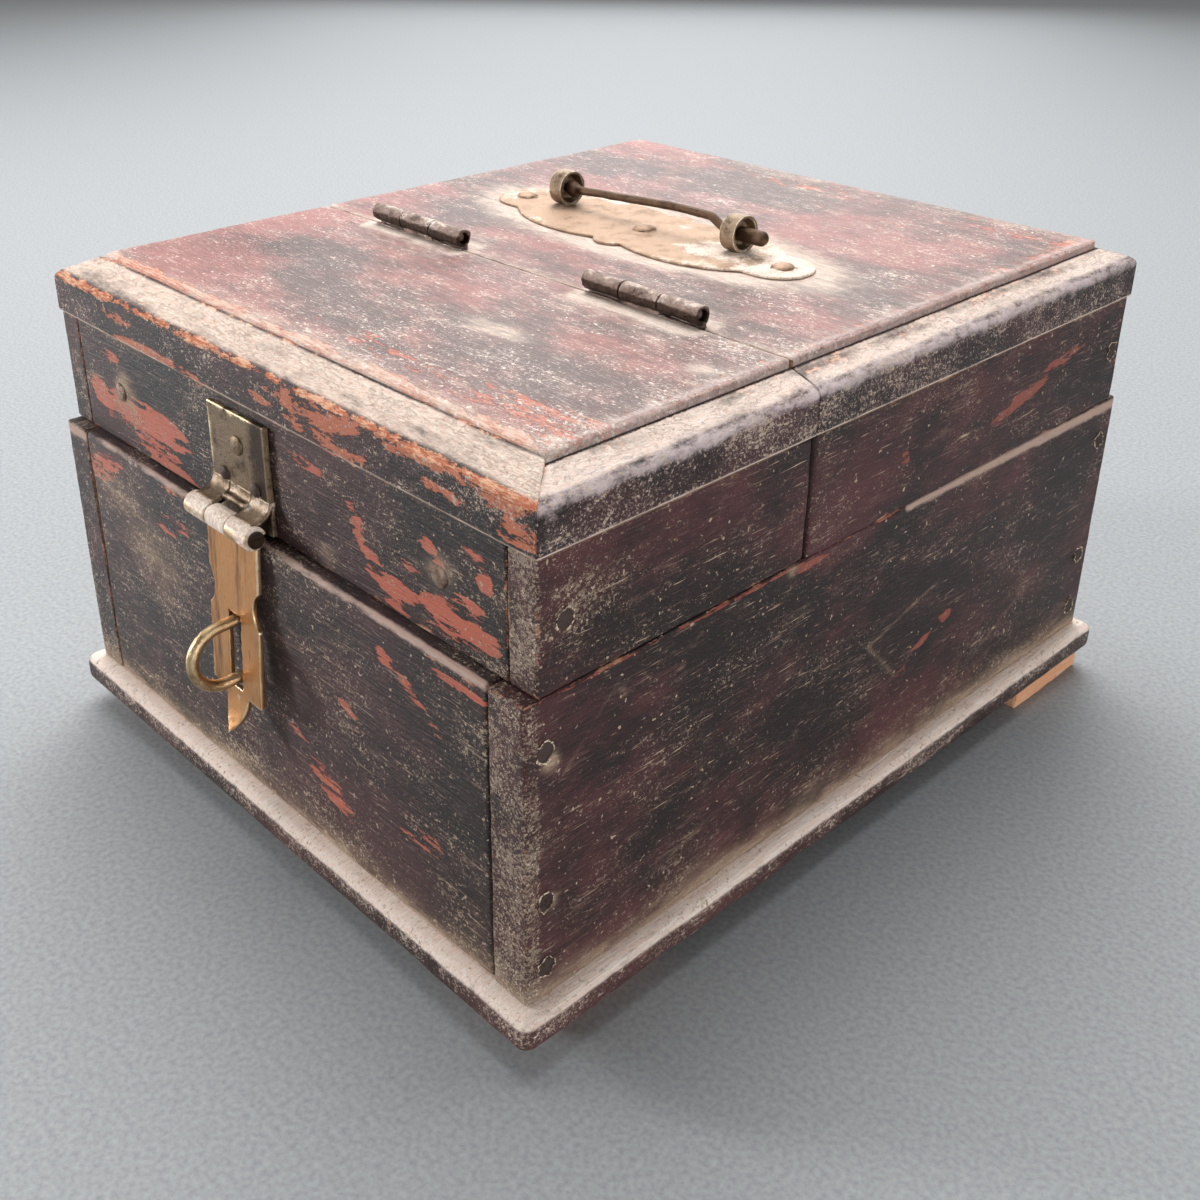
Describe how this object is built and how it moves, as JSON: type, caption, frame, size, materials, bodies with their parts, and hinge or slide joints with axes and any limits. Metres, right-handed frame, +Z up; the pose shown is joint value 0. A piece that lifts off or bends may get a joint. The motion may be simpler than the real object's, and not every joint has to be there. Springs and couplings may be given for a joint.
{
  "type": "antique apothecary box",
  "caption": "Antique lacquered wooden box with a hinged half lid, divided inside, closed by a brass hasp over a staple and carried by an iron rod handle.",
  "frame": {"origin": "under the middle of the whole box, staple included, on the surface it stands on", "axes": "+Z up, -Y to the front with the hasp, +X to the right seen from the front"},
  "size_m": [0.199, 0.252, 0.15],
  "materials": {
    "lacquered_wood": "old dark maroon lacquer, worn and dusty",
    "panel_wood": "faded maroon lacquer with worn orange arrises",
    "bare_wood": "bare aged softwood",
    "brass": "tarnished hammered brass",
    "old_iron": "old dark wrought iron, dusty"
  },
  "bodies": {
    "carcass": {"base_board": "lacquered_wood", "foot_front_left": "bare_wood", "foot_front_right": "bare_wood", "foot_rear_left": "bare_wood", "foot_rear_right": "bare_wood", "body_side_left": "lacquered_wood", "body_side_right": "lacquered_wood", "body_front_board": "lacquered_wood", "body_back_board": "lacquered_wood", "long_divider": "bare_wood", "cross_divider_left": "bare_wood", "cross_divider_right": "bare_wood", "body_nails": "old_iron", "base_nails": "old_iron", "rear_side_left": "lacquered_wood", "rear_side_right": "lacquered_wood", "rear_back_board": "lacquered_wood", "rear_nails": "old_iron", "rear_panel": "panel_wood", "rear_moulding_back": "panel_wood", "rear_moulding_left": "panel_wood", "rear_moulding_right": "panel_wood", "hinge_left_rear_leaf": "old_iron", "hinge_right_rear_leaf": "old_iron", "hinge_left_pin": "old_iron", "hinge_right_pin": "old_iron", "hinge_rear_nails": "old_iron", "staple": "brass", "handle_plate": "brass", "handle_plate_nails": "brass", "handle_post_left": "old_iron", "handle_post_right": "old_iron"},
    "lid": {"lid_side_left": "lacquered_wood", "lid_side_right": "lacquered_wood", "lid_front_apron": "lacquered_wood", "lid_nails": "old_iron", "lid_panel": "panel_wood", "lid_moulding_front": "panel_wood", "lid_moulding_left": "panel_wood", "lid_moulding_right": "panel_wood", "hinge_left_lid_leaf": "old_iron", "hinge_right_lid_leaf": "old_iron", "hinge_lid_nails": "old_iron", "hasp_plate": "brass", "hasp_plate_nails": "old_iron", "hasp_pin": "brass"},
    "hasp": {"hasp_strap": "brass"},
    "handle": {"handle_rod": "old_iron"}
  },
  "joints": [
    {"name": "lid_hinge", "type": "hinge", "parent": "carcass", "child": "lid", "pos_m": [0, -0.02295, 0.1423], "axis": [-1, 0, 0], "range_deg": [0, 170]},
    {"name": "hasp_swing", "type": "hinge", "parent": "lid", "child": "hasp", "pos_m": [-0.0063, -0.11175, 0.0958], "axis": [-1, 0, 0], "range_deg": [0, 175]},
    {"name": "handle_turn", "type": "hinge", "parent": "carcass", "child": "handle", "pos_m": [-0.0049, 0.02805, 0.1449], "axis": [1, 0, 0], "continuous": true}
  ]
}
